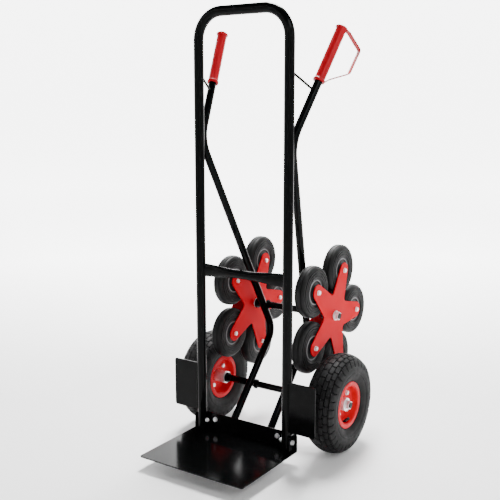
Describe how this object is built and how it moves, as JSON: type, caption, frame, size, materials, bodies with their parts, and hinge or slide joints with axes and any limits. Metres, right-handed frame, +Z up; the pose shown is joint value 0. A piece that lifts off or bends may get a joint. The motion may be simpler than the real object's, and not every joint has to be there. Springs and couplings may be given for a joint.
{
  "type": "stair climbing trolley",
  "caption": "Upright hand truck with a hoop frame, toe plate, raked grip handles, pneumatic wheels and rotating star clusters of small wheels for climbing stairs.",
  "frame": {"origin": "centre of the trolley's bounding box at the level of the tyres' lowest points", "axes": "+Z up along the hoop's legs, +X across to the right-hand wheel as seen from the toe plate, -Y towards the toe plate"},
  "size_m": [0.4832, 0.6442, 1.1304],
  "materials": {
    "frame_black": "gloss powder coat",
    "star_red": "gloss powder coat",
    "rim_red": "gloss paint",
    "road_tyre": "matt moulded rubber",
    "star_tyre": "satin moulded rubber",
    "star_core": "moulded",
    "tube_rubber": "smooth",
    "grip_red": "moulded gloss",
    "zinc": "bright zinc plate"
  },
  "bodies": {
    "frame": {"hoop_frame": "frame_black", "cross_tube": "frame_black", "handle_tube_left": "frame_black", "handle_tube_right": "frame_black", "brace_rods": "frame_black", "lower_strap": "frame_black", "toe_plate": "frame_black", "wheel_guard_left": "frame_black", "wheel_guard_right": "frame_black", "frame_bolts": "zinc", "frame_nuts": "zinc", "grip_left": "grip_red", "grip_right": "grip_red", "hand_guard_left": "grip_red", "hand_guard_right": "grip_red", "wheel_axle": "frame_black", "star_axle": "frame_black", "axle_collars": "frame_black", "axle_washers": "zinc", "axle_nuts": "zinc"},
    "wheel_left": {"wheel_left_tyre": "road_tyre", "wheel_left_inner_tube": "tube_rubber", "wheel_left_rim_outer": "rim_red", "wheel_left_rim_inner": "rim_red", "wheel_left_hub": "zinc", "wheel_left_rim_bolts": "zinc"},
    "wheel_right": {"wheel_right_tyre": "road_tyre", "wheel_right_inner_tube": "tube_rubber", "wheel_right_rim_outer": "rim_red", "wheel_right_rim_inner": "rim_red", "wheel_right_hub": "zinc", "wheel_right_rim_bolts": "zinc"},
    "star_left": {"star_left_plate_outer": "star_red", "star_left_plate_inner": "star_red", "star_left_hub": "zinc", "star_left_bolts": "zinc"},
    "star_left_wheel_1": {"star_left_tyre_1": "star_tyre", "star_left_core_1": "star_core"},
    "star_left_wheel_2": {"star_left_tyre_2": "star_tyre", "star_left_core_2": "star_core"},
    "star_left_wheel_3": {"star_left_tyre_3": "star_tyre", "star_left_core_3": "star_core"},
    "star_left_wheel_4": {"star_left_tyre_4": "star_tyre", "star_left_core_4": "star_core"},
    "star_left_wheel_5": {"star_left_tyre_5": "star_tyre", "star_left_core_5": "star_core"},
    "star_right": {"star_right_plate_outer": "star_red", "star_right_plate_inner": "star_red", "star_right_hub": "zinc", "star_right_bolts": "zinc"},
    "star_right_wheel_1": {"star_right_tyre_1": "star_tyre", "star_right_core_1": "star_core"},
    "star_right_wheel_2": {"star_right_tyre_2": "star_tyre", "star_right_core_2": "star_core"},
    "star_right_wheel_3": {"star_right_tyre_3": "star_tyre", "star_right_core_3": "star_core"},
    "star_right_wheel_4": {"star_right_tyre_4": "star_tyre", "star_right_core_4": "star_core"},
    "star_right_wheel_5": {"star_right_tyre_5": "star_tyre", "star_right_core_5": "star_core"}
  },
  "joints": [
    {"name": "wheel_left_spin", "type": "hinge", "parent": "frame", "child": "wheel_left", "pos_m": [-0.2005, 0.05587, 0.13], "axis": [1, 0, 0], "continuous": true},
    {"name": "wheel_right_spin", "type": "hinge", "parent": "frame", "child": "wheel_right", "pos_m": [0.2005, 0.05587, 0.13], "axis": [1, 0, 0], "continuous": true},
    {"name": "star_left_turn", "type": "hinge", "parent": "frame", "child": "star_left", "pos_m": [-0.1263, 0.13048, 0.34], "axis": [1, 0, 0], "continuous": true},
    {"name": "star_left_wheel_1_spin", "type": "hinge", "parent": "star_left", "child": "star_left_wheel_1", "pos_m": [-0.1263, 0.17754, 0.45473], "axis": [1, 0, 0], "continuous": true},
    {"name": "star_left_wheel_2_spin", "type": "hinge", "parent": "star_left", "child": "star_left_wheel_2", "pos_m": [-0.1263, 0.25413, 0.3307], "axis": [1, 0, 0], "continuous": true},
    {"name": "star_left_wheel_3_spin", "type": "hinge", "parent": "star_left", "child": "star_left_wheel_3", "pos_m": [-0.1263, 0.15985, 0.21953], "axis": [1, 0, 0], "continuous": true},
    {"name": "star_left_wheel_4_spin", "type": "hinge", "parent": "star_left", "child": "star_left_wheel_4", "pos_m": [-0.1263, 0.02498, 0.27484], "axis": [1, 0, 0], "continuous": true},
    {"name": "star_left_wheel_5_spin", "type": "hinge", "parent": "star_left", "child": "star_left_wheel_5", "pos_m": [-0.1263, 0.03591, 0.4202], "axis": [1, 0, 0], "continuous": true},
    {"name": "star_right_turn", "type": "hinge", "parent": "frame", "child": "star_right", "pos_m": [0.1263, 0.13048, 0.34], "axis": [1, 0, 0], "continuous": true},
    {"name": "star_right_wheel_1_spin", "type": "hinge", "parent": "star_right", "child": "star_right_wheel_1", "pos_m": [0.1263, 0.17754, 0.45473], "axis": [1, 0, 0], "continuous": true},
    {"name": "star_right_wheel_2_spin", "type": "hinge", "parent": "star_right", "child": "star_right_wheel_2", "pos_m": [0.1263, 0.25413, 0.3307], "axis": [1, 0, 0], "continuous": true},
    {"name": "star_right_wheel_3_spin", "type": "hinge", "parent": "star_right", "child": "star_right_wheel_3", "pos_m": [0.1263, 0.15985, 0.21953], "axis": [1, 0, 0], "continuous": true},
    {"name": "star_right_wheel_4_spin", "type": "hinge", "parent": "star_right", "child": "star_right_wheel_4", "pos_m": [0.1263, 0.02498, 0.27484], "axis": [1, 0, 0], "continuous": true},
    {"name": "star_right_wheel_5_spin", "type": "hinge", "parent": "star_right", "child": "star_right_wheel_5", "pos_m": [0.1263, 0.03591, 0.4202], "axis": [1, 0, 0], "continuous": true}
  ]
}
